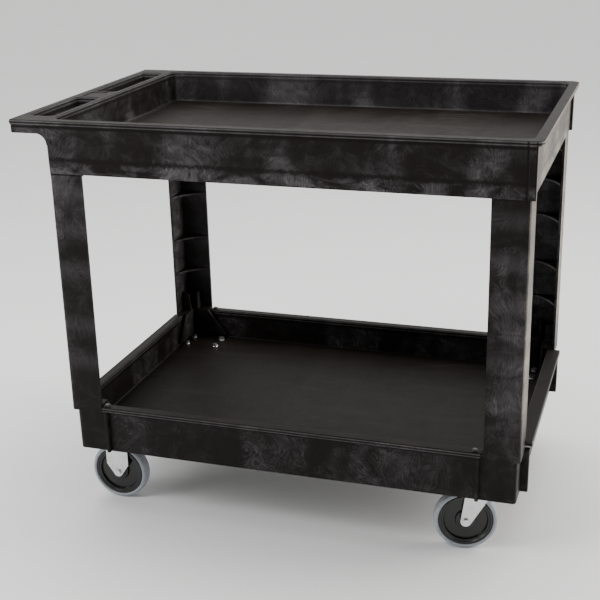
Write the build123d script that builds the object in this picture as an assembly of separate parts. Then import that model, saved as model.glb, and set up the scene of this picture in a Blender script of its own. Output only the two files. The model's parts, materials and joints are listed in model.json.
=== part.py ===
"""Two-shelf rolling utility cart: moulded shelves, four angle legs, rigid and swivel casters.

Frame: +X towards the plain end (away from the push handle), +Y towards the back, +Z up.
The origin is on the ground under the middle of the cart. All lengths are millimetres.
"""

from build123d import *
import math
import os

# ---- overall size -------------------------------------------------------------------------
LENGTH = 1040.0
WIDTH = 634.0
HEIGHT = 845.0
HALF_LENGTH = LENGTH / 2
HALF_WIDTH = WIDTH / 2

# ---- moulded walls ------------------------------------------------------------------------
WALL = 4.5
FLOOR = 5.0
RIB = 3.5
LIP_HEIGHT = 9.0
RIM_ROUND = 2.5

# ---- upper shelf --------------------------------------------------------------------------
UPPER_APRON_BOTTOM = 739.5
UPPER_FLOOR_TOP = 775.0
UPPER_TRAY_X = (-436.0, 500.0)
UPPER_TRAY_DRAFT = 6.0
UPPER_TRAY_COVE = 7.0
TRAY_HALF_Y = 295.0
UPPER_BODY_X = (-442.2, 505.0)
UPPER_BODY_HALF_Y = 313.5
HANDLE_SKIRT_BOTTOM = 818.0
HANDLE_SKIRT_X = (-518.8, -432.0)
GUSSET_RADIUS = 22.0
BIN_X = (-503.0, -448.0)
BIN_FLOOR_TOP = 822.5
BIN_BACK_Y = (12.0, 268.0)
BIN_FRONT_Y = (-268.0, -60.0)
CORNER_POST_X = (495.0, 510.0)
CORNER_POST_Y = (300.0, 315.0)

# ---- lower shelf --------------------------------------------------------------------------
LOWER_RIM_TOP = 241.0
LOWER_APRON_BOTTOM = 137.0
LOWER_FLOOR_TOP = 172.0
LOWER_LIP_X = (-447.5, 515.0)
LOWER_BODY_X = (-433.5, 496.5)
LOWER_BODY_HALF_Y = 306.5
LOWER_TRAY_X = (-426.0, 486.0)
LOWER_TRAY_DRAFT = 4.0
LOWER_TRAY_COVE = 3.5
SIDE_RIB_WIDTH = 8.0
SIDE_RIB_X = (-367.0, 416.5)
SIDE_RIB_FACE_Y = 315.0
END_RIB_Y = (238.0, 251.5)
END_RIB_FACE_X = (-444.0, 511.0)
NOTCH_X = (-369.0, 426.5)
NOTCH_Y = 241.3
LATCH_X = (-361.0, 415.0)
LATCH_Y = 305.5

# ---- legs ---------------------------------------------------------------------------------
LEG_WIDTH_X = 70.0
LEG_WIDTH_Y = 70.0
LEG_WALL = 5.0
LEG_CORNER_X = (-442.0, 502.0)
LEG_CORNER_Y = 312.0
LEG_BOTTOM = 228.0
LEG_TOP = UPPER_APRON_BOTTOM
LEG_RIB_HEIGHTS = (348.0, 432.5, 544.5, 629.0, 706.0)
LEG_RIB = 4.0
TENON_INSET = 6.5
TENON_TOP = 766.0
FOOT_REACH = 30.0
BRACE_BOTTOM = 181.0

# ---- casters ------------------------------------------------------------------------------
WHEEL_RADIUS = 63.5
WHEEL_HALF_WIDTH = 14.0
CORE_RADIUS = 54.8
CASTER_TOP = 158.0
PLATE = 3.0
PLATE_X = 92.0
PLATE_Y = 64.0
BOLT_X = 38.0
BOLT_Y = 22.5
FORK_GAP = 15.6
FORK_SHEET = 2.8
RIGID_X = -371.5
SWIVEL_X = 418.3
SWIVEL_TRAIL = 28.0
SWIVEL_TURN = {"front": 13.0, "back": 0.0}
CASTER_Y = 246.4
AXLE_RADIUS = 4.0
BUSHING_RADIUS = 6.5
BORE_RADIUS = 6.9
KINGPIN_RADIUS = 6.0
BALL_RING = 19.0
BALL_RADIUS = 3.0
BALL_HEIGHT = 148.4
BALL_COUNT = 14
WASHER_RADIUS = 7.8

os.makedirs("parts", exist_ok=True)


def save(shape, name):
    """Write one named node."""
    export_step(shape, f"parts/{name}.step")
    print(name, "volume cm3", round(shape.volume / 1000, 1), "solids", len(shape.solids()))


# ---- shape helpers ------------------------------------------------------------------------


def block(x0, x1, y0, y1, z0, z1):
    """Axis-aligned box between two corners."""
    size = (x1 - x0, y1 - y0, z1 - z0)
    middle = ((x0 + x1) / 2, (y0 + y1) / 2, (z0 + z1) / 2)
    return Pos(*middle) * Box(*size)


def rounded_face(x0, x1, y0, y1, z, radius):
    """Rounded rectangle lying level at height z."""
    return Pos((x0 + x1) / 2, (y0 + y1) / 2, z) * RectangleRounded(x1 - x0, y1 - y0, radius)


def drafted(x, y, z, inset, radius):
    """Rounded block whose bottom is drawn in by inset on every side; x, y and z are (low, high)."""
    top = rounded_face(x[0], x[1], y[0], y[1], z[1], radius)
    low_radius = max(radius - inset, 0.6)
    bottom = rounded_face(x[0] + inset, x[1] - inset, y[0] + inset, y[1] - inset, z[0], low_radius)
    return loft([bottom, top])


def level_edges(shape, z):
    """Edges lying wholly at height z."""
    return [
        edge
        for edge in shape.edges()
        if abs(edge.bounding_box().min.Z - z) < 0.01 and abs(edge.bounding_box().max.Z - z) < 0.01
    ]


def open_space(x, y, z, inset, radius, cove, rim_round):
    """Open-topped space: drafted sides, a cove round the floor and a rounded mouth."""
    space = drafted(x, y, z, inset, radius)
    space = fillet(level_edges(space, z[0]), cove)
    drawn_in = inset * rim_round / (z[1] - z[0])
    steps = [(-drawn_in, rim_round)]
    for degrees in (30, 60, 90):
        turn = math.radians(degrees)
        steps.append((rim_round * (1 - math.cos(turn)), rim_round * (1 - math.sin(turn))))
    rings = [
        rounded_face(x[0] - out, x[1] + out, y[0] - out, y[1] + out, z[1] - down, radius + out)
        for out, down in steps
    ]
    for low, high in zip(rings, rings[1:]):
        space += loft([low, high])
    return space + extrude(rings[-1], 5.0)


def tray_shell(x, half_y, z, inset, radius):
    """Outside of the tray walls and floor; z is (floor top, rim top)."""
    wide_x = (x[0] - WALL, x[1] + WALL)
    wide_y = (-half_y - WALL, half_y + WALL)
    return drafted(wide_x, wide_y, (z[0] - FLOOR, z[1]), inset, radius + WALL)


def rounded_slab(x, z_top, radius):
    """Flat slab of the full cart width with a rounded top edge."""
    slab = drafted(x, (-HALF_WIDTH, HALF_WIDTH), (z_top - LIP_HEIGHT, z_top), 0.6, radius)
    return fillet(level_edges(slab, z_top), 3.0)


def lip_slab(x, z_top, left_radius):
    """Lip whose left corners have their own radius; the right corners are broad."""
    return rounded_slab((-200.0, x[1]), z_top, 18.0) + rounded_slab((x[0], 200.0), z_top, left_radius)


def hexagon(across_flats, height):
    """Hexagonal head or nut standing on the XY plane."""
    return extrude(RegularPolygon(across_flats / 2, 6, major_radius=False), height)


def mirrored(shape, sx, sy):
    """Turn or mirror a shape into the quarter given by the signs of X and Y."""
    if sx < 0 and sy < 0:
        return Rot(0, 0, 180) * shape
    if sx < 0:
        return mirror(shape, about=Plane.YZ)
    if sy < 0:
        return mirror(shape, about=Plane.XZ)
    return shape


def caster_bolt_places():
    """Centres of the sixteen caster bolts."""
    return [
        (x + dx, y + dy)
        for x in (RIGID_X, SWIVEL_X)
        for y in (-CASTER_Y, CASTER_Y)
        for dx in (-BOLT_X, BOLT_X)
        for dy in (-BOLT_Y, BOLT_Y)
    ]


# ---- upper shelf --------------------------------------------------------------------------


def corner_posts():
    """Raised square posts at the two plain-end corners of the upper apron."""
    posts = []
    for side in (-1, 1):
        y = sorted((side * CORNER_POST_Y[0], side * CORNER_POST_Y[1]))
        z = (UPPER_APRON_BOTTOM, HEIGHT - LIP_HEIGHT + 1)
        posts.append(drafted(CORNER_POST_X, y, z, 0.8, 2.5))
    return posts


def handle_gusset():
    """Curved web that carries the handle skirt down into the body's end wall."""
    x = UPPER_BODY_X[0] + 1.0
    z = HANDLE_SKIRT_BOTTOM + 0.5
    radius = GUSSET_RADIUS
    corner = block(x - radius, x + 5.0, -312.8, 312.8, z - radius, z)
    scoop = Pos(x - radius, 0, z - radius) * Rot(90, 0, 0) * Cylinder(radius, 700)
    return corner - scoop


def handle_bins():
    """The two tool bins let into the handle deck."""
    z = (BIN_FLOOR_TOP, HEIGHT)
    return [open_space(BIN_X, y, z, 4.0, 12.0, 3.5, RIM_ROUND) for y in (BIN_BACK_Y, BIN_FRONT_Y)]


def handle_bin_shells():
    """Outside of the bin walls and floors."""
    shells = []
    for y in (BIN_BACK_Y, BIN_FRONT_Y):
        x = (BIN_X[0] - 4.0, BIN_X[1] + 4.0)
        shells.append(drafted(x, (y[0] - 4.0, y[1] + 4.0), (BIN_FLOOR_TOP - 4.0, HEIGHT), 4.0, 14.0))
    return shells


def upper_underside_ribs():
    """Stiffening ribs under the upper floor, and the walls that grip the leg tenons."""
    z = (UPPER_APRON_BOTTOM + 4.0, UPPER_FLOOR_TOP - FLOOR + 1.0)
    ribs = []
    for x in (-315.0, -210.0, -105.0, 0.0, 105.0, 210.0, 315.0, 405.0):
        ribs.append(block(x - RIB / 2, x + RIB / 2, -309.0, 309.0, z[0], z[1]))
    for y in (-195.0, -65.0, 65.0, 195.0):
        ribs.append(block(-441.0, 503.0, y - RIB / 2, y + RIB / 2, z[0], z[1]))
    for corner_x, sx in zip(LEG_CORNER_X, (1, -1)):
        for sy in (-1, 1):
            inner = TENON_INSET + LEG_WALL + 0.3
            long_x = sorted((corner_x + sx * inner, corner_x + sx * 60.0))
            long_y = sorted((sy * (LEG_CORNER_Y - inner), sy * (LEG_CORNER_Y - inner - RIB)))
            ribs.append(block(*long_x, *long_y, *z))
            short_x = sorted((corner_x + sx * inner, corner_x + sx * (inner + RIB)))
            short_y = sorted((sy * (LEG_CORNER_Y - inner), sy * (LEG_CORNER_Y - 64.0)))
            ribs.append(block(*short_x, *short_y, *z))
    return ribs


def build_upper_shelf():
    """One-piece upper shelf: lipped tray, deep apron, handle bar and bins."""
    apron_top = HEIGHT - LIP_HEIGHT + 1.0
    apron_z = (UPPER_APRON_BOTTOM, apron_top)
    half_y = UPPER_BODY_HALF_Y
    body = drafted(UPPER_BODY_X, (-half_y, half_y), apron_z, 1.2, 5.0)
    skirt = drafted(HANDLE_SKIRT_X, (-half_y, half_y), (HANDLE_SKIRT_BOTTOM, apron_top), 0.3, 5.0)
    skirt = fillet(level_edges(skirt, HANDLE_SKIRT_BOTTOM), 2.0)
    shelf = lip_slab((-HALF_LENGTH, HALF_LENGTH), HEIGHT, 6.0) + body + skirt + handle_gusset()
    for post in corner_posts():
        shelf += post

    hollow_x = (UPPER_BODY_X[0] + WALL, UPPER_BODY_X[1] - WALL)
    hollow_y = (-half_y + WALL, half_y - WALL)
    hollow = drafted(hollow_x, hollow_y, (UPPER_APRON_BOTTOM - 2.0, apron_top - 2.0), 1.2, 4.0)
    tray_z = (UPPER_FLOOR_TOP, HEIGHT)
    hollow -= tray_shell(UPPER_TRAY_X, TRAY_HALF_Y, tray_z, UPPER_TRAY_DRAFT, 22.0)
    for rib in upper_underside_ribs():
        hollow -= rib
    grip_x = (HANDLE_SKIRT_X[0] + 5.0, UPPER_BODY_X[0] - 1.0)
    grip = drafted(grip_x, hollow_y, (HANDLE_SKIRT_BOTTOM - 2.0, apron_top - 1.0), 0.3, 3.0)
    for shell in handle_bin_shells():
        grip -= shell
    shelf = shelf - hollow - grip

    tray_y = (-TRAY_HALF_Y, TRAY_HALF_Y)
    shelf -= open_space(UPPER_TRAY_X, tray_y, tray_z, UPPER_TRAY_DRAFT, 22.0, UPPER_TRAY_COVE, RIM_ROUND)
    for space in handle_bins():
        shelf -= space
    web_recess = rounded_face(-498.0, -458.0, -52.0, 4.0, HEIGHT - 1.5, 8.0)
    shelf -= extrude(web_recess, 5)
    return shelf


# ---- lower shelf --------------------------------------------------------------------------


def corner_notches():
    """Space cleared for the legs at the four corners of the lower lip."""
    z = (LEG_BOTTOM - 0.5, LOWER_RIM_TOP + 5.0)
    cuts = []
    for sy in (-1, 1):
        side_y = sorted((sy * LOWER_BODY_HALF_Y, sy * (HALF_WIDTH + 5)))
        end_y = sorted((sy * NOTCH_Y, sy * (HALF_WIDTH + 5)))
        cuts.append(block(LOWER_LIP_X[0] - 5, NOTCH_X[0], *side_y, *z))
        cuts.append(block(NOTCH_X[1], LOWER_LIP_X[1] + 5, *side_y, *z))
        cuts.append(block(LOWER_LIP_X[0] - 5, LOWER_BODY_X[0], *end_y, *z))
        cuts.append(block(LOWER_BODY_X[1], LOWER_LIP_X[1] + 5, *end_y, *z))
    return cuts


def apron_ribs():
    """Upright ribs that frame each corner block on the long sides and on the ends."""
    z = (LOWER_APRON_BOTTOM, LOWER_RIM_TOP - LIP_HEIGHT + 1.0)
    ribs = []
    for sy in (-1, 1):
        face_y = sorted((sy * (LOWER_BODY_HALF_Y - 4), sy * SIDE_RIB_FACE_Y))
        for x in SIDE_RIB_X:
            ribs.append(drafted((x, x + SIDE_RIB_WIDTH), face_y, z, 0.5, 2.0))
        end_y = sorted((sy * END_RIB_Y[0], sy * END_RIB_Y[1]))
        low = (LOWER_APRON_BOTTOM, LEG_BOTTOM - 0.5)
        ribs.append(drafted((END_RIB_FACE_X[0], LOWER_BODY_X[0] + 4), end_y, low, 0.8, 3.0))
        ribs.append(drafted((LOWER_BODY_X[1] - 4, END_RIB_FACE_X[1]), end_y, low, 0.8, 3.0))
    return ribs


def lower_underside():
    """Ribs, caster pads and pad webs kept solid under the lower floor."""
    floor_under = LOWER_FLOOR_TOP - FLOOR + 1.0
    kept = []
    for x in (-290.0, -180.0, -60.0, 60.0, 180.0, 300.0):
        kept.append(block(x - RIB / 2, x + RIB / 2, -305.0, 305.0, 143.0, floor_under))
    for y in (-130.0, 0.0, 130.0):
        kept.append(block(-428.0, 495.0, y - RIB / 2, y + RIB / 2, 143.0, floor_under))
    for x in (RIGID_X, SWIVEL_X):
        for y in (-CASTER_Y, CASTER_Y):
            kept.append(block(x - 52, x + 52, y - 38, y + 38, CASTER_TOP, floor_under))
    return kept


def build_lower_shelf():
    """One-piece lower shelf: lipped tray, apron with corner blocks, caster pads."""
    apron_top = LOWER_RIM_TOP - LIP_HEIGHT + 1.0
    half_y = LOWER_BODY_HALF_Y
    body = drafted(LOWER_BODY_X, (-half_y, half_y), (LOWER_APRON_BOTTOM, apron_top), 1.0, 9.0)
    shelf = lip_slab(LOWER_LIP_X, LOWER_RIM_TOP, 18.0) + body
    for cut in corner_notches():
        shelf -= cut
    for rib in apron_ribs():
        shelf += rib

    hollow_x = (LOWER_BODY_X[0] + WALL, LOWER_BODY_X[1] - WALL)
    hollow_y = (-half_y + WALL, half_y - WALL)
    hollow = drafted(hollow_x, hollow_y, (LOWER_APRON_BOTTOM - 2.0, apron_top - 2.0), 1.0, 5.0)
    tray_y = (-TRAY_HALF_Y, TRAY_HALF_Y)
    tray_z = (LOWER_FLOOR_TOP, LOWER_RIM_TOP)
    hollow -= tray_shell(LOWER_TRAY_X, TRAY_HALF_Y, tray_z, LOWER_TRAY_DRAFT, 20.0)
    for piece in lower_underside():
        hollow -= piece
    shelf -= hollow
    shelf -= open_space(LOWER_TRAY_X, tray_y, tray_z, LOWER_TRAY_DRAFT, 20.0, LOWER_TRAY_COVE, RIM_ROUND)

    for x, y in caster_bolt_places():
        shelf -= Pos(x, y, LOWER_FLOOR_TOP) * Cylinder(4.2, 40)
    for x in LATCH_X:
        for sy in (-1, 1):
            shelf -= Pos(x, sy * LATCH_Y, LOWER_RIM_TOP) * Box(12.0, 6.0, 14.0)
    return shelf


def build_leg_latches():
    """Four snap latches that sit in the lower rim beside the legs."""
    latches = []
    for x in LATCH_X:
        for sy in (-1, 1):
            stem = Pos(x, sy * LATCH_Y, LOWER_RIM_TOP - 3.0) * Box(11.6, 5.6, 7.6)
            head = Pos(x, sy * LATCH_Y, LOWER_RIM_TOP + 2.5) * Box(9.0, 8.0, 5.0)
            head = fillet(head.edges().group_by(Axis.Z)[-1], 1.2)
            latches.append(stem + head)
    return Compound(children=latches)


# ---- legs ---------------------------------------------------------------------------------


def angle(width_x, width_y, thickness, z0, z1, corner=0.0):
    """Angle section with its outer corner on the Z axis, arms along +X and +Y."""
    plan = block(0, width_x, 0, width_y, z0, z1)
    if corner > 0:
        outer = plan.edges().filter_by(Axis.Z).sort_by(lambda e: e.center().X + e.center().Y)[0]
        plan = fillet(outer, corner)
    inside = block(thickness, width_x + 1, thickness, width_y + 1, z0 - 1, z1 + 1)
    return plan - inside


def leg_rib(z):
    """Level web across the inside of the angle with a hollowed free edge."""
    with BuildSketch(Plane.XY.offset(z - LEG_RIB / 2)) as web:
        with BuildLine():
            Line((2.0, 2.0), (LEG_WIDTH_X - 2.0, 2.0))
            Line((LEG_WIDTH_X - 2.0, 2.0), (LEG_WIDTH_X - 2.0, LEG_WALL + 2.0))
            ThreePointArc(
                (LEG_WIDTH_X - 2.0, LEG_WALL + 2.0),
                (LEG_WIDTH_X * 0.44, LEG_WIDTH_Y * 0.44),
                (LEG_WALL + 2.0, LEG_WIDTH_Y - 2.0),
            )
            Line((LEG_WALL + 2.0, LEG_WIDTH_Y - 2.0), (2.0, LEG_WIDTH_Y - 2.0))
            Line((2.0, LEG_WIDTH_Y - 2.0), (2.0, 2.0))
        make_face()
    return extrude(web.sketch, LEG_RIB)


def brace_plate(width):
    """Upright plate inside the lower tray: narrow at the rim, wider towards the floor."""
    flare = 46.0
    near = FOOT_REACH - 4.0
    outline = Polyline(
        (near, BRACE_BOTTOM),
        (width + flare, BRACE_BOTTOM),
        (width, LOWER_RIM_TOP + 2.0),
        (near, LOWER_RIM_TOP + 2.0),
        (near, BRACE_BOTTOM),
    )
    face = Plane.XZ * make_face(outline)
    return Pos(0, FOOT_REACH, 0) * extrude(face, 4.0)


def leg_gusset():
    """Small upright gusset standing on the foot plate against the wide arm."""
    low = LOWER_RIM_TOP + 3.0
    corners = [(4.0, low), (FOOT_REACH - 2.0, low), (FOOT_REACH - 6.0, 286.0), (4.0, 292.0)]
    outline = Polyline(*corners, corners[0])
    face = Plane.YZ * make_face(outline)
    return Pos(37.0, 0, 0) * extrude(face, 4.0)


def build_leg():
    """Leg with its outer corner on the Z axis and its arms along +X and +Y."""
    leg = angle(LEG_WIDTH_X, LEG_WIDTH_Y, LEG_WALL, LEG_BOTTOM, LEG_TOP, 8.0)
    for z in LEG_RIB_HEIGHTS:
        leg += leg_rib(z)
    flange = angle(LEG_WIDTH_X - 2.0, LEG_WIDTH_Y - 2.0, 14.0, LEG_TOP - 5.0, LEG_TOP, 7.0)
    tenon = Pos(TENON_INSET, TENON_INSET, 0) * angle(50.0, 54.0, LEG_WALL, LEG_TOP - 2.0, TENON_TOP, 3.0)
    foot = Pos(2.0, 2.0, 0) * angle(
        LEG_WIDTH_X - 2.0, LEG_WIDTH_Y - 2.0, FOOT_REACH - 2.0, LOWER_RIM_TOP, LOWER_RIM_TOP + 4.0, 2.0
    )
    long_brace = brace_plate(LEG_WIDTH_X)
    swap = Plane(origin=(0, 0, 0), z_dir=(1, -1, 0))
    short_brace = mirror(brace_plate(LEG_WIDTH_Y), about=swap)
    gusset = leg_gusset()
    leg = leg + flange + tenon + foot + long_brace + short_brace + gusset + mirror(gusset, about=swap)
    return leg


# ---- casters ------------------------------------------------------------------------------


def revolve_about_y(points):
    """Solid of revolution about the Y axis from (radius, y) points."""
    outline = Polyline(*points, points[0])
    return revolve(make_face(outline), axis=Axis.Y)


def cylinder_y(radius, y0, y1):
    """Cylinder along Y between two ends."""
    return Pos(0, (y0 + y1) / 2, 0) * Rot(90, 0, 0) * Cylinder(radius, y1 - y0)


def build_core():
    """Hub, dished web and rim of one wheel, axle along Y."""
    half = [
        (BORE_RADIUS, 15.0),
        (13.5, 15.0),
        (15.5, 13.2),
        (20.0, 11.5),
        (21.5, 6.0),
        (42.5, 6.0),
        (44.5, 11.5),
        (48.0, 11.5),
        (48.8, 13.2),
        (52.8, 13.2),
        (CORE_RADIUS, 12.0),
    ]
    lower = [(r, -y) for r, y in reversed(half)]
    return revolve_about_y(half + lower)


def build_tread():
    """Soft tread with rounded shoulders, axle along Y."""
    half = [
        (CORE_RADIUS, 12.1),
        (CORE_RADIUS + 1.0, 13.4),
        (57.4, WHEEL_HALF_WIDTH),
        (59.8, 13.5),
        (61.8, 11.8),
        (63.0, 9.2),
        (WHEEL_RADIUS, 6.0),
    ]
    lower = [(r, -y) for r, y in reversed(half)]
    return revolve_about_y(half + lower)


def caster_plate(x, y):
    """Top plate with four bolt holes."""
    face = Pos(x, y, CASTER_TOP - PLATE) * RectangleRounded(PLATE_X, PLATE_Y, 7.0)
    plate = extrude(face, PLATE)
    for dx in (-BOLT_X, BOLT_X):
        for dy in (-BOLT_Y, BOLT_Y):
            plate -= Pos(x + dx, y + dy, CASTER_TOP) * Cylinder(4.2, 20)
    return plate


def fork_legs(outline, axle_x, x, y):
    """Pair of sheet legs cut to an outline in X and Z, with the axle hole and rounded tip."""
    face = make_face(Polyline(*outline, outline[0]))
    tip = Pos(axle_x, WHEEL_RADIUS) * Circle(10.6)
    hole = Pos(axle_x, WHEEL_RADIUS) * Circle(AXLE_RADIUS + 0.1)
    sheet = extrude(Plane.XZ * (face + tip - hole), FORK_SHEET)
    near = Pos(x, y - FORK_GAP, 0) * sheet
    far = Pos(x, y + FORK_GAP + FORK_SHEET, 0) * sheet
    return near + far


def build_rigid_fork(x, y):
    """Plate and house-shaped fork of a rigid caster."""
    top = CASTER_TOP - PLATE
    outline = [(-25.3, top), (-25.3, 82.0), (-9.8, 59.4), (9.8, 59.4), (25.3, 82.0), (25.3, top)]
    outer = FORK_GAP + FORK_SHEET
    bridge = block(x - 27, x + 27, y - outer, y + outer, top - 3.0, top + 0.5)
    fork = caster_plate(x, y) + bridge + fork_legs(outline, 0.0, x, y)
    return fork


def build_swivel_plate(x, y):
    """Top plate of a swivel caster with its fixed upper race."""
    top = CASTER_TOP - PLATE
    race = Pos(x, y, top - 2.0) * Cylinder(25.0, 4.4)
    race = fillet(race.edges().group_by(Axis.Z)[0], 1.5)
    groove = Pos(x, y, BALL_HEIGHT) * Torus(BALL_RING, BALL_RADIUS + 0.4)
    bore = Pos(x, y, top) * Cylinder(KINGPIN_RADIUS, 30)
    return caster_plate(x, y) + race - groove - bore


def build_balls(x, y):
    """Ring of bearing balls under the upper race."""
    ball = Pos(BALL_RING, 0, 0) * Sphere(BALL_RADIUS)
    centre = Pos(x, y, BALL_HEIGHT)
    balls = [centre * Rot(0, 0, 360 / BALL_COUNT * i) * ball for i in range(BALL_COUNT)]
    return Compound(children=balls)


def build_kingpin(x, y):
    """Rivet that holds the swivel fork under its plate."""
    shank = Pos(x, y, (CASTER_TOP + 138.0) / 2) * Cylinder(KINGPIN_RADIUS, CASTER_TOP - 138.0)
    head = Pos(x, y, 138.5) * Cylinder(11.0, 4.0)
    head = fillet(head.edges().group_by(Axis.Z)[0], 1.5)
    return shank + head


def build_swivel_fork():
    """Round crown and trailing legs of a swivel caster, kingpin on the Z axis."""
    crown_top = 145.6
    crown_low = 141.0
    crown = Pos(0, 0, (crown_top + crown_low) / 2) * Cylinder(27.0, crown_top - crown_low)
    crown = fillet(crown.edges().group_by(Axis.Z)[-1], 1.5)
    groove = Pos(0, 0, BALL_HEIGHT) * Torus(BALL_RING, BALL_RADIUS + 0.4)
    bore = Pos(0, 0, crown_top) * Cylinder(KINGPIN_RADIUS + 0.4, 30)
    outer = FORK_GAP + FORK_SHEET
    bridge = block(-24, 20, -outer, outer, crown_low, crown_low + 3.5)
    axle_x = -SWIVEL_TRAIL
    outline = [
        (-24.0, crown_low + 3.5),
        (-30.7, 119.5),
        (axle_x - 10.5, 65.0),
        (axle_x + 9.2, 58.2),
        (18.0, 119.0),
        (20.0, crown_low + 3.5),
    ]
    fork = crown + bridge - groove - bore
    return fork + fork_legs(outline, axle_x, 0, 0)


def build_axle_bolt():
    """Hex-headed axle bolt through both fork legs, axle along Y."""
    outer = FORK_GAP + FORK_SHEET
    shank = cylinder_y(AXLE_RADIUS, -outer - 1.0, outer + 9.5)
    head = Pos(0, -outer, 0) * Rot(90, 0, 0) * hexagon(12.7, 5.0)
    return shank + head


def build_axle_nut():
    """Lock nut on the inner side of the fork."""
    outer = FORK_GAP + FORK_SHEET
    nut = Pos(0, outer + 7.5, 0) * Rot(90, 0, 0) * hexagon(12.7, 7.5)
    return nut - cylinder_y(AXLE_RADIUS, 0, 60)


def build_bushing():
    """Spanner bushing clamped between the fork legs."""
    return cylinder_y(BUSHING_RADIUS, -FORK_GAP, FORK_GAP) - cylinder_y(AXLE_RADIUS, -40, 40)


def build_mounting_bolts():
    """Hex bolts through the lower floor into the caster plates."""
    bolts = []
    low = 145.5
    high = LOWER_FLOOR_TOP + 2.0
    for x, y in caster_bolt_places():
        shank = Pos(x, y, (low + high) / 2) * Cylinder(3.9, high - low)
        head = Pos(x, y, LOWER_FLOOR_TOP + 1.5) * hexagon(12.7, 5.0)
        bolts.append(shank + head)
    return Compound(children=bolts)


def build_mounting_washers():
    """Washers under the bolt heads."""
    ring = extrude(Circle(WASHER_RADIUS) - Circle(4.1), 1.5)
    return Compound(children=[Pos(x, y, LOWER_FLOOR_TOP) * ring for x, y in caster_bolt_places()])


def build_mounting_nuts():
    """Nuts under the caster plates."""
    nut = hexagon(12.7, 6.5) - Cylinder(4.0, 30)
    low = CASTER_TOP - PLATE - 6.5
    return Compound(children=[Pos(x, y, low) * nut for x, y in caster_bolt_places()])


# ---- write every node ---------------------------------------------------------------------

save(build_upper_shelf(), "upper_shelf")
save(build_lower_shelf(), "lower_shelf")
save(build_leg_latches(), "leg_latches")

leg_shape = build_leg()
for end_name, corner_x, sx in (("left", LEG_CORNER_X[0], 1), ("right", LEG_CORNER_X[1], -1)):
    for side_name, sy in (("front", 1), ("back", -1)):
        placed = Pos(corner_x, -sy * LEG_CORNER_Y, 0) * mirrored(leg_shape, sx, sy)
        save(placed, f"leg_{side_name}_{end_name}")

core_shape = build_core()
tread_shape = build_tread()
for kind, plate_x in (("rigid", RIGID_X), ("swivel", SWIVEL_X)):
    for side_name, y in (("front", -CASTER_Y), ("back", CASTER_Y)):
        tag = f"{kind}_{side_name}"
        if kind == "rigid":
            save(build_rigid_fork(plate_x, y), f"{tag}_fork")
            axle = Pos(plate_x, y, WHEEL_RADIUS)
        else:
            save(build_swivel_plate(plate_x, y), f"{tag}_plate")
            save(build_balls(plate_x, y), f"{tag}_balls")
            save(build_kingpin(plate_x, y), f"{tag}_kingpin")
            stem = Pos(plate_x, y, 0) * Rot(0, 0, SWIVEL_TURN[side_name])
            save(stem * build_swivel_fork(), f"{tag}_fork")
            axle = stem * Pos(-SWIVEL_TRAIL, 0, WHEEL_RADIUS)
        save(axle * build_axle_bolt(), f"{tag}_axle_bolt")
        save(axle * build_axle_nut(), f"{tag}_axle_nut")
        save(axle * build_bushing(), f"{tag}_bushing")
        save(axle * core_shape, f"{tag}_wheel_core")
        save(axle * tread_shape, f"{tag}_wheel_tread")

save(build_mounting_bolts(), "mounting_bolts")
save(build_mounting_washers(), "mounting_washers")
save(build_mounting_nuts(), "mounting_nuts")
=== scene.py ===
"""Looks of the two-shelf rolling utility cart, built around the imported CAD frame. Metres, +Z up."""

import json
import math

import bpy
from mathutils import Matrix, Vector


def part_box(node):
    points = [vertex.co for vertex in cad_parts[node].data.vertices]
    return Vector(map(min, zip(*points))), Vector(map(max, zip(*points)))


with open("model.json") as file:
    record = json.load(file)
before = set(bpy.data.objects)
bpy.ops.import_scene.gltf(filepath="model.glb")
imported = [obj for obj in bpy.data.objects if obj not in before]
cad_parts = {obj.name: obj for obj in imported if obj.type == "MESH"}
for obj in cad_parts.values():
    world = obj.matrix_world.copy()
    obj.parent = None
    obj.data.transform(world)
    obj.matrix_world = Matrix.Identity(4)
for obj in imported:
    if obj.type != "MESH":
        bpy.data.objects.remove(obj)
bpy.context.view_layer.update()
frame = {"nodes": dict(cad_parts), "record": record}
NODES = frame["nodes"]

# ---- places on the cart ---------------------------------------------------------------------

UPPER_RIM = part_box("upper_shelf")[1].z
LOWER_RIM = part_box("lower_shelf")[1].z
FLOW_LINE = 0.768
LEG_RIBS = (0.348, 0.4325, 0.5445, 0.629, 0.706)
LEG_JOINT = 0.7385
# Upright lines of painted shade in the grooves near the plain end of the long faces: place along X,
# half width
APRON_GROOVE_SHADE = ((0.4925, 0.004), (0.508, 0.002))

# Ramps between two places, from off to on
SIDE_FACE_Y = (0.29, 0.30)
# The next two ramps place the painted light on the inside of the upper tray's back wall
BACK_WALL_Y = (0.27, 0.28)
BACK_WALL_Z = (0.76, 0.78)
# The next two ramps place the painted glare on the outer end faces at the plain end
END_GLARE_X = (0.486, 0.496)
END_GLARE_Z = (0.24, 0.34)
LOW_PARTS_Z = (0.20, 0.50)

# Ramps of the surface normal: a face counts as facing an axis beyond these
FACES_AXIS = (0.6, 0.8)

# ---- marks on the foam ----------------------------------------------------------------------

# Painted highlight lines and painted shadow lines under a rim: depth, half width
RIM_HIGHLIGHT_LINES = ((0.0022, 0.0024), (0.0080, 0.0018))
SHADED_LINES = ((0.0050, 0.0030), (0.0135, 0.0055))
FLOW_RAGGED = 0.020
FLOW_HALF_WIDTH = 0.007
FLOW_BAND_TOP = (-0.012, -0.003)
FLOW_BAND_FOOT = (-0.040, -0.030)
SMUDGE_DROP = 0.006
SMUDGE_REACH = 0.030
JOINT_HALF_WIDTH = 0.004

# Swirl strokes, per metre across and along each stroke, and the grain of level faces along X and Y
STROKES_ACROSS = 190.0
STROKES_ALONG = 26.0
GRAIN_X = 5.0
GRAIN_Y = 34.0

FOAM_BUMP_STRENGTH = 0.25
FOAM_BUMP_HEIGHT = 0.0007

# ---- foam colours, linear -------------------------------------------------------------------

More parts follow.
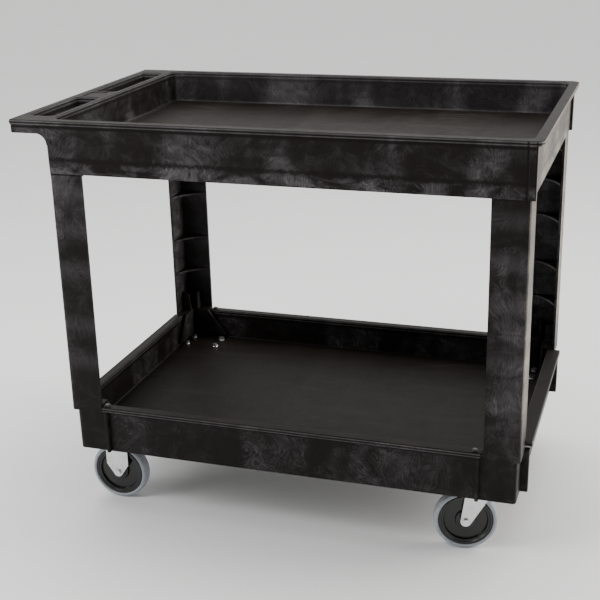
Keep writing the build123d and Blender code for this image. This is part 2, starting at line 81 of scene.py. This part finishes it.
DARK_UPRIGHT = (0.0054, 0.0037, 0.0030, 1.0)
DARK_LEVEL = (0.0070, 0.0050, 0.0037, 1.0)
# Painted glare on the outer end faces at the plain end, dark colour
DARK_END_GLARE = (0.046, 0.040, 0.032, 1.0)
LIGHT_UPRIGHT = (0.120, 0.113, 0.119, 1.0)
LIGHT_LEVEL = (0.060, 0.054, 0.046, 1.0)
# Painted glare on the outer end faces at the plain end, light colour: bright taupe in place of grazing
# light
LIGHT_END_GLARE = (0.380, 0.335, 0.280, 1.0)
FOAM_SPECULAR = 0.10
FOAM_ROUGHNESS = 0.30

# ---- soft edges -----------------------------------------------------------------------------

WELD_DISTANCE = 0.00002
EDGE_ANGLE = math.radians(35)
EDGE_SEGMENTS = 2
SOFT_EDGES = {
    "shelf_foam": 0.0006,
    "leg_foam": 0.0008,
    "latch_plastic": 0.0005,
    "wheel_core_black": 0.0006,
    "grey_tread": 0.0006,
    "zinc_plate": 0.0006,
    "bright_steel": 0.0005,
}

# ---- camera, lights and floor ---------------------------------------------------------------

PITCH = math.radians(19.823)
YAW = math.radians(18.424)
ROLL = math.radians(-1.476)
STAND = (0.7398, -2.3127, 1.2792)
LENS = 70.53
SENSOR_WIDTH = 36.0
CLIP_END = 60.0

SURROUND_COLOUR = (1.0, 0.995, 0.985, 1.0)
SURROUND_FADE = {"From Min": -0.35, "From Max": 0.45, "To Min": 0.20, "To Max": 1.75}
WHITE_LIGHT = (1.0, 1.0, 1.0)
WARM_LIGHT = (1.0, 0.96, 0.91)
# name, place, target, size, watts, colour
SOFTBOXES = (
    ("top_box", (0.1, 0.3, 3.4), (0.0, 0.0, 0.5), (2.4, 2.0), 55.0, WHITE_LIGHT),
    ("right_box", (2.9, 0.9, 1.4), (0.3, 0.0, 0.6), (1.6, 2.0), 70.0, WARM_LIGHT),
    ("front_left_box", (-2.7, -1.9, 1.7), (-0.4, 0.0, 0.5), (1.2, 1.2), 38.0, WHITE_LIGHT),
    ("front_top_box", (-1.2, -1.8, 3.0), (0.0, 0.2, 0.7), (1.6, 1.0), 38.0, WHITE_LIGHT),
)

FLOOR_REACH = 30.0
FLOOR_ROUGHNESS = 0.6

# ---- node helpers ---------------------------------------------------------------------------

# Sockets of the Mix node: its two inputs and its output, for numbers and for colours
MIX_SOCKETS = {"FLOAT": (2, 3, 0), "RGBA": (6, 7, 2)}


def grey(value, warm=0.0):
    """Linear grey, slightly warm when warm is above zero."""
    return (value * (1 + warm), value, value * (1 - warm), 1.0)


class Graph:
    """A material's node tree with short calls for the maths it needs."""

    def __init__(self, name):
        self.material = bpy.data.materials.new(name)
        self.material.use_nodes = True
        self.tree = self.material.node_tree
        self.tree.nodes.clear()
        self.shader = self.tree.nodes.new("ShaderNodeBsdfPrincipled")
        output = self.tree.nodes.new("ShaderNodeOutputMaterial")
        self.tree.links.new(self.shader.outputs["BSDF"], output.inputs["Surface"])
        coordinates = self.tree.nodes.new("ShaderNodeTexCoord")
        self.place = coordinates.outputs["Object"]
        self.facing = coordinates.outputs["Normal"]

    def put(self, value, socket):
        """Link a socket, or set a constant."""
        if isinstance(value, bpy.types.NodeSocket):
            self.tree.links.new(value, socket)
        else:
            socket.default_value = value

    def maths(self, operation, a, b=0.0):
        node = self.tree.nodes.new("ShaderNodeMath")
        node.operation = operation
        for value, socket in zip((a, b), node.inputs):
            self.put(value, socket)
        return node.outputs[0]

    def add(self, a, b):
        return self.maths("ADD", a, b)

    def sub(self, a, b):
        return self.maths("SUBTRACT", a, b)

    def mul(self, a, b):
        return self.maths("MULTIPLY", a, b)

    def absolute(self, a):
        return self.maths("ABSOLUTE", a)

    def fade(self, amount, mask):
        """The amount, taken away where the mask is one."""
        return self.mul(amount, self.sub(1.0, mask))

    def split(self, vector):
        node = self.tree.nodes.new("ShaderNodeSeparateXYZ")
        self.put(vector, node.inputs[0])
        return node.outputs[0], node.outputs[1], node.outputs[2]

    def join(self, x, y, z):
        node = self.tree.nodes.new("ShaderNodeCombineXYZ")
        for value, socket in zip((x, y, z), node.inputs):
            self.put(value, socket)
        return node.outputs[0]

    def noise(self, vector, scale, detail=2.0, roughness=0.5, distortion=0.0):
        node = self.tree.nodes.new("ShaderNodeTexNoise")
        self.put(vector, node.inputs["Vector"])
        node.inputs["Scale"].default_value = scale
        node.inputs["Detail"].default_value = detail
        node.inputs["Roughness"].default_value = roughness
        node.inputs["Distortion"].default_value = distortion
        return node.outputs["Fac"]

    def ramp(self, value, low, high, to_low=0.0, to_high=1.0):
        """Smooth step of value from low..high to to_low..to_high."""
        node = self.tree.nodes.new("ShaderNodeMapRange")
        node.interpolation_type = "SMOOTHSTEP"
        self.put(value, node.inputs["Value"])
        numbers = (low, high, to_low, to_high)
        for number, key in zip(numbers, ("From Min", "From Max", "To Min", "To Max")):
            node.inputs[key].default_value = number
        return node.outputs["Result"]

    def line_at(self, v, height, half_width):
        """One on a level line at the height, fading to zero half_width away."""
        return self.ramp(self.absolute(self.sub(v, height)), 0.0, half_width, 1.0, 0.0)

    def mix(self, kind, amount, a, b):
        """Number or colour a where amount is 0, b where it is 1."""
        node = self.tree.nodes.new("ShaderNodeMix")
        node.data_type = kind
        a_socket, b_socket, result = MIX_SOCKETS[kind]
        self.put(amount, node.inputs[0])
        self.put(a, node.inputs[a_socket])
        self.put(b, node.inputs[b_socket])
        return node.outputs[result]

    def blend(self, amount, a, b):
        return self.mix("FLOAT", amount, a, b)

    def colours(self, amount, a, b):
        return self.mix("RGBA", amount, a, b)

    def bump(self, height, strength, distance):
        node = self.tree.nodes.new("ShaderNodeBump")
        node.inputs["Strength"].default_value = strength
        node.inputs["Distance"].default_value = distance
        self.put(height, node.inputs["Height"])
        return node.outputs["Normal"]

    def finished(self, colour, roughness, normal):
        """The material, with its three surface fields joined to the shader."""
        self.put(colour, self.shader.inputs["Base Color"])
        self.put(roughness, self.shader.inputs["Roughness"])
        self.put(normal, self.shader.inputs["Normal"])
        return self.material


# ---- structural foam ------------------------------------------------------------------------


class Foam(Graph):
    """Black moulded foam, and the swirl fields that the marks on it are made of.

    u and v run along and up an upright face; on a level face they are x and y.
    """

    def __init__(self, name):
        super().__init__(name)
        self.x, self.y, self.z = self.split(self.place)
        nx, self.ny, nz = self.split(self.facing)
        self.level = self.ramp(self.absolute(nz), *FACES_AXIS)
        endwise = self.ramp(self.absolute(nx), *FACES_AXIS)
        # Painted glare: outer faces at the plain end that face +X take the bright end colours in place
        # of grazing light
        glare_reach = self.mul(self.ramp(self.x, *END_GLARE_X), self.ramp(self.z, *END_GLARE_Z))
        self.end_glare = self.mul(self.ramp(nx, *FACES_AXIS), glare_reach)
        self.upright = self.sub(1.0, self.level)
        self.u = self.blend(endwise, self.x, self.y)
        self.v = self.blend(self.level, self.z, self.y)
        long_strokes = self.feathers(seed=0.37, spread=2.6, size=0.118)
        short_strokes = self.feathers(seed=5.61, spread=4.2, size=0.074)
        self.columns = self.clouds(0.9, 0.30, (0.42, 0.58), scale=9.0, distortion=0.3)
        self.patch = self.clouds(
            2.7, 1.6, (0.42, 0.62), scale=16.0, detail=3.0, roughness=0.6, distortion=0.9
        )
        self.haze = self.noise(self.face(4.1), scale=30.0, detail=5.0, roughness=0.7, distortion=1.2)
        self.strokes = self.add(self.mul(long_strokes, 0.85), self.mul(short_strokes, 0.45))

    def face(self, seed):
        """A point on the face, in a slice of the noise of its own."""
        return self.join(self.u, self.v, seed)

    def clouds(self, seed, squeeze, edges, **look):
        """Soft patches, drawn out along the face's height where squeeze is under one."""
        return self.ramp(self.noise(self.join(self.u, self.mul(self.v, squeeze), seed), **look), *edges)

    def feathers(self, seed, spread, size):
        """Fans of fine light strokes, as foam leaves on a moulded face."""
        sway = self.noise(self.face(seed), scale=6.0)
        cell = self.add(self.mul(self.add(self.u, self.mul(sway, 0.08)), 1 / size), seed)
        across_cell = self.sub(self.maths("FRACT", cell), 0.5)
        angle = self.add(self.mul(across_cell, spread), self.mul(self.sub(sway, 0.5), 4.5))
        cosine = self.maths("COSINE", angle)
        sine = self.maths("SINE", angle)
        along = self.add(self.mul(self.u, sine), self.mul(self.v, cosine))
        across = self.sub(self.mul(self.u, cosine), self.mul(self.v, sine))
        drawn_out = self.join(self.mul(across, STROKES_ACROSS), self.mul(along, STROKES_ALONG), seed)
        stroke = self.noise(drawn_out, scale=1.0, detail=4.0, roughness=0.75, distortion=0.4)
        return self.ramp(stroke, 0.45, 0.62)

    def swirl(self):
        """The grey flow pattern, thinner on level faces and low down on the cart."""
        both = self.mul(self.mul(self.columns, self.patch), 0.30)
        cover = self.add(self.mul(self.columns, 0.30), self.add(both, self.mul(self.patch, 0.12)))
        cover = self.mul(self.add(cover, 0.04), self.ramp(self.z, *LOW_PARTS_Z, 0.55, 1.0))
        smoke = self.mul(self.ramp(self.haze, 0.40, 0.70), 0.42)
        amount = self.mul(self.add(self.strokes, smoke), cover)
        return self.mul(amount, self.add(self.mul(self.upright, 0.58), 0.42))

    def flow_line(self, amount, height):
        """A ragged dark line round the shelf, with a light band close under it."""
        rough_edge = self.noise(self.face(7.7), scale=90.0, detail=4.0, roughness=0.75)
        ragged = self.mul(self.sub(rough_edge, 0.5), FLOW_RAGGED)
        rise = self.sub(self.add(self.v, ragged), height)
        line = self.mul(self.line_at(rise, 0.0, FLOW_HALF_WIDTH), self.upright)
        amount = self.fade(amount, self.mul(line, 0.85))
        below = self.mul(self.ramp(rise, *FLOW_BAND_TOP, 1.0, 0.0), self.ramp(rise, *FLOW_BAND_FOOT))
        light = self.mul(self.add(self.strokes, 0.2), self.mul(self.patch, 0.5))
        return self.add(amount, self.mul(self.mul(below, self.upright), light))

    def grain(self, amount):
        """Long drawn-out streaks on the level faces."""
        drawn_out = self.join(self.mul(self.x, GRAIN_X), self.mul(self.y, GRAIN_Y), 1.3)
        grain = self.noise(drawn_out, scale=1.0, detail=5.0, roughness=0.65, distortion=0.8)
        return self.add(amount, self.mul(self.ramp(grain, 0.48, 0.80), self.mul(self.level, 0.20)))

    def smudge(self, amount, rib):
        """A light sink mark on a leg, just under one of its inner ribs."""
        near = self.mul(self.line_at(self.v, rib - SMUDGE_DROP, SMUDGE_REACH), self.upright)
        light = self.mul(self.add(self.strokes, self.mul(self.haze, 0.5)), 0.24)
        return self.add(amount, self.mul(near, light))

    def lines_under(self, top, lines):
        """Two level lines under a rim, on the upright faces."""
        first, second = (self.line_at(self.v, top - depth, width) for depth, width in lines)
        return self.mul(self.add(first, second), self.upright)

    def painted_rim_light(self, amount, top):
        """Painted light along a lip: two painted highlight lines, with a painted shadow line under
        each.
        """
        highlight = self.lines_under(top, RIM_HIGHLIGHT_LINES)
        highlight = self.mul(highlight, self.add(self.mul(self.haze, 1.1), 0.05))
        shade = self.lines_under(top, SHADED_LINES)
        amount = self.fade(amount, self.maths("MINIMUM", shade, 0.9))
        return self.add(amount, self.mul(highlight, 0.8))

    def joint(self, amount, height):
        """A dark line where the leg meets the shelf."""
        return self.fade(amount, self.mul(self.line_at(self.v, height, JOINT_HALF_WIDTH), self.upright))

    def painted_back_wall_light(self, amount):
        """Painted light on the inside of the upper tray's back wall: its swirl is made lighter there.
        """
        faces_front = self.ramp(self.ny, -FACES_AXIS[1], -FACES_AXIS[0], 1.0, 0.0)
        at_back = self.mul(faces_front, self.ramp(self.y, *BACK_WALL_Y))
        where = self.mul(at_back, self.ramp(self.z, *BACK_WALL_Z))
        light = self.add(self.mul(self.strokes, 0.14), self.add(self.mul(self.columns, 0.16), 0.07))
        return self.add(amount, self.mul(where, light))

    def seam(self, amount, x, half_width):
        """Painted shade: a dark upright line in a groove on the long faces."""
        on_side = self.mul(self.upright, self.ramp(self.absolute(self.y), *SIDE_FACE_Y))
        groove = self.mul(self.line_at(self.x, x, half_width), on_side)
        return self.fade(amount, self.mul(groove, 0.95))

    def skinned(self, amount):
        """The finished material, light where the amount is one."""
        amount = self.maths("MINIMUM", amount, 1.0)
        dark = self.colours(self.level, DARK_UPRIGHT, DARK_LEVEL)
        # Painted glare on the outer end faces, in both the dark and the light colour
        dark = self.colours(self.end_glare, dark, DARK_END_GLARE)
        light = self.colours(self.level, LIGHT_UPRIGHT, LIGHT_LEVEL)
        light = self.colours(self.end_glare, light, LIGHT_END_GLARE)
        rough = self.add(self.mul(amount, 0.16), self.mul(self.haze, 0.18))
        rough = self.add(rough, self.mul(self.level, 0.16))
        rough = self.add(rough, self.add(self.mul(self.end_glare, -0.06), FOAM_ROUGHNESS))
        self.shader.inputs["Specular IOR Level"].default_value = FOAM_SPECULAR
        fine = self.noise(self.place, scale=900.0)
        texture = self.add(self.mul(self.strokes, 0.5), self.mul(self.haze, 0.5))
        height = self.add(self.mul(fine, 0.14), texture)
        normal = self.bump(height, FOAM_BUMP_STRENGTH, FOAM_BUMP_HEIGHT)
        return self.finished(self.colours(amount, dark, light), rough, normal)


def shelf_foam():
    """Foam of both shelves: flow line, grain, painted highlights and shadows along the rims, painted
    light on the back wall and painted shade in the apron grooves.
    """
    foam = Foam("shelf_foam_look")
    amount = foam.grain(foam.flow_line(foam.swirl(), FLOW_LINE))
    # Painted highlights and painted shadows along both rims
    for top in (UPPER_RIM, LOWER_RIM):
        amount = foam.painted_rim_light(amount, top)
    # Painted light on the inside of the upper tray's back wall
    amount = foam.painted_back_wall_light(amount)
    # Painted shade in the apron grooves
    for x, half_width in APRON_GROOVE_SHADE:
        amount = foam.seam(amount, x, half_width)
    return foam.skinned(amount)


def leg_foam():
    """Foam of the legs: grain, a smudge at each inner rib and the joint with the upper shelf."""
    foam = Foam("leg_foam_look")
    amount = foam.grain(foam.swirl())
    for rib in LEG_RIBS:
        amount = foam.smudge(amount, rib)
    return foam.skinned(foam.joint(amount, LEG_JOINT))


# ---- other materials ------------------------------------------------------------------------


def satin_plastic(name, value, rough):
    """Plain moulded black plastic with a fine uneven skin."""
    g = Graph(name)
    blotch = g.noise(g.place, scale=60.0, detail=3.0)
    fine = g.noise(g.place, scale=1400.0)
    colour = g.colours(blotch, grey(value * 0.8), grey(value * 1.3))
    return g.finished(colour, g.add(g.mul(blotch, 0.12), rough), g.bump(fine, 0.12, 0.0003))


def tread_rubber(name):
    """Matt pale grey thermoplastic rubber with faint scuffs and floor dust."""
    g = Graph(name)
    blotch = g.noise(g.place, scale=45.0, detail=4.0, roughness=0.6)
    scuff = g.ramp(g.noise(g.place, scale=260.0, detail=3.0, roughness=0.6, distortion=1.5), 0.55, 0.75)
    tone = g.colours(blotch, (0.29, 0.315, 0.345, 1.0), (0.40, 0.425, 0.455, 1.0))
    colour = g.colours(g.mul(scuff, 0.25), tone, (0.2, 0.2, 0.205, 1.0))
    fine = g.noise(g.place, scale=700.0, detail=3.0)
    return g.finished(colour, g.add(g.mul(blotch, 0.15), 0.5), g.bump(fine, 0.15, 0.0004))


def zinc(name, low, high, rough):
    """Bright zinc plate: rolled grain, faint spangle and handling marks."""
    g = Graph(name)
    x, y, z = g.split(g.place)
    rolled = g.join(g.mul(x, 900.0), g.mul(y, 900.0), g.mul(z, 60.0))
    grain = g.noise(rolled, scale=1.0, detail=3.0)
    spangle = g.noise(g.place, scale=170.0, distortion=0.4)
    smear = g.ramp(g.noise(g.place, scale=38.0, detail=4.0, roughness=0.6), 0.4, 0.75)
    g.shader.inputs["Metallic"].default_value = 1.0
    tone = g.colours(spangle, grey(low), grey(high, -0.01))
    colour = g.colours(g.mul(smear, 0.3), tone, grey(low * 0.8, 0.02))
    roughness = g.add(g.add(g.mul(smear, 0.14), g.mul(grain, 0.12)), rough)
    return g.finished(colour, roughness, g.bump(grain, 0.08, 0.0003))


def floor_look():
    """Pale, faintly mottled floor."""
    g = Graph("floor_look")
    mottle = g.noise(g.place, scale=3.0, detail=3.0)
    g.put(g.colours(mottle, grey(0.90), grey(0.93)), g.shader.inputs["Base Color"])
    g.shader.inputs["Roughness"].default_value = FLOOR_ROUGHNESS
    return g.material


# ---- dressing the CAD pieces ----------------------------------------------------------------


def soften(node, width):
    """Weld the imported faces and round their sharp edges a little."""
    weld = node.modifiers.new("weld", "WELD")
    weld.merge_threshold = WELD_DISTANCE
    bevel = node.modifiers.new("edge_round", "BEVEL")
    bevel.width = width
    bevel.segments = EDGE_SEGMENTS
    bevel.limit_method = "ANGLE"
    bevel.angle_limit = EDGE_ANGLE
    bevel.harden_normals = True
    node.modifiers.new("even_normals", "WEIGHTED_NORMAL").keep_sharp = True


def dress_nodes():
    """Give every CAD node the material of its slot, and soft edges where its slot has them."""
    looks = {
        "shelf_foam": shelf_foam(),
        "leg_foam": leg_foam(),
        "latch_plastic": satin_plastic("latch_look", 0.03, 0.3),
        "wheel_core_black": satin_plastic("wheel_core_look", 0.006, 0.16),
        "grey_tread": tread_rubber("tread_look"),
        "zinc_plate": zinc("zinc_plate_look", 0.62, 0.8, 0.26),
        "bright_steel": zinc("bright_steel_look", 0.66, 0.85, 0.2),
    }
    looks["hard_steel"] = looks["bright_steel"]
    for part in frame["record"]["subparts"]:
        node = NODES[part["node"]]
        slot = part["material_slot"]
        node.data.materials.clear()
        node.data.materials.append(looks[slot])
        if slot in SOFT_EDGES:
            soften(node, SOFT_EDGES[slot])


# ---- studio ---------------------------------------------------------------------------------


def place_camera():
    """Camera at the usual three-quarter view of the cart."""
    ahead = math.cos(PITCH)
    forward = Vector((-math.sin(YAW) * ahead, math.cos(YAW) * ahead, -math.sin(PITCH)))
    level = Vector((math.cos(YAW), math.sin(YAW), 0.0))
    right = math.cos(ROLL) * level + math.sin(ROLL) * level.cross(forward)
    up = right.cross(forward)
    data = bpy.data.cameras.new("camera")
    data.lens = LENS
    data.sensor_width = SENSOR_WIDTH
    data.clip_end = CLIP_END
    camera = bpy.data.objects.new("camera", data)
    turn = Matrix((right, up, -forward)).transposed().to_4x4()
    camera.matrix_world = Matrix.Translation(STAND) @ turn
    bpy.context.scene.collection.objects.link(camera)
    bpy.context.scene.camera = camera


def softbox(name, place, target, size, power, colour):
    """Rectangular area light aimed at a point."""
    data = bpy.data.lights.new(name, "AREA")
    data.shape = "RECTANGLE"
    data.size, data.size_y = size
    data.energy = power
    data.color = colour
    light = bpy.data.objects.new(name, data)
    aim = Vector(target) - Vector(place)
    light.matrix_world = Matrix.Translation(place) @ aim.to_track_quat("-Z", "Y").to_matrix().to_4x4()
    bpy.context.scene.collection.objects.link(light)


def light_world():
    """Studio surround, bright behind the cart and dimmer in front of it, and four soft boxes."""
    world = bpy.data.worlds.new("studio")
    world.use_nodes = True
    tree = world.node_tree
    background = tree.nodes["Background"]
    background.inputs["Color"].default_value = SURROUND_COLOUR
    direction = tree.nodes.new("ShaderNodeTexCoord")
    parts = tree.nodes.new("ShaderNodeSeparateXYZ")
    fade = tree.nodes.new("ShaderNodeMapRange")
    fade.interpolation_type = "SMOOTHSTEP"
    for key, number in SURROUND_FADE.items():
        fade.inputs[key].default_value = number
    tree.links.new(direction.outputs["Generated"], parts.inputs[0])
    tree.links.new(parts.outputs[1], fade.inputs["Value"])
    tree.links.new(fade.outputs["Result"], background.inputs["Strength"])
    bpy.context.scene.world = world
    for box in SOFTBOXES:
        softbox(*box)


def lay_floor():
    """Wide pale floor."""
    mesh = bpy.data.meshes.new("floor")
    near, far = -FLOOR_REACH, FLOOR_REACH
    corners = [(near, near, 0), (far, near, 0), (far, far, 0), (near, far, 0)]
    mesh.from_pydata(corners, [], [(0, 1, 2, 3)])
    floor = bpy.data.objects.new("floor", mesh)
    bpy.context.scene.collection.objects.link(floor)
    mesh.materials.append(floor_look())


dress_nodes()
place_camera()
light_world()
lay_floor()
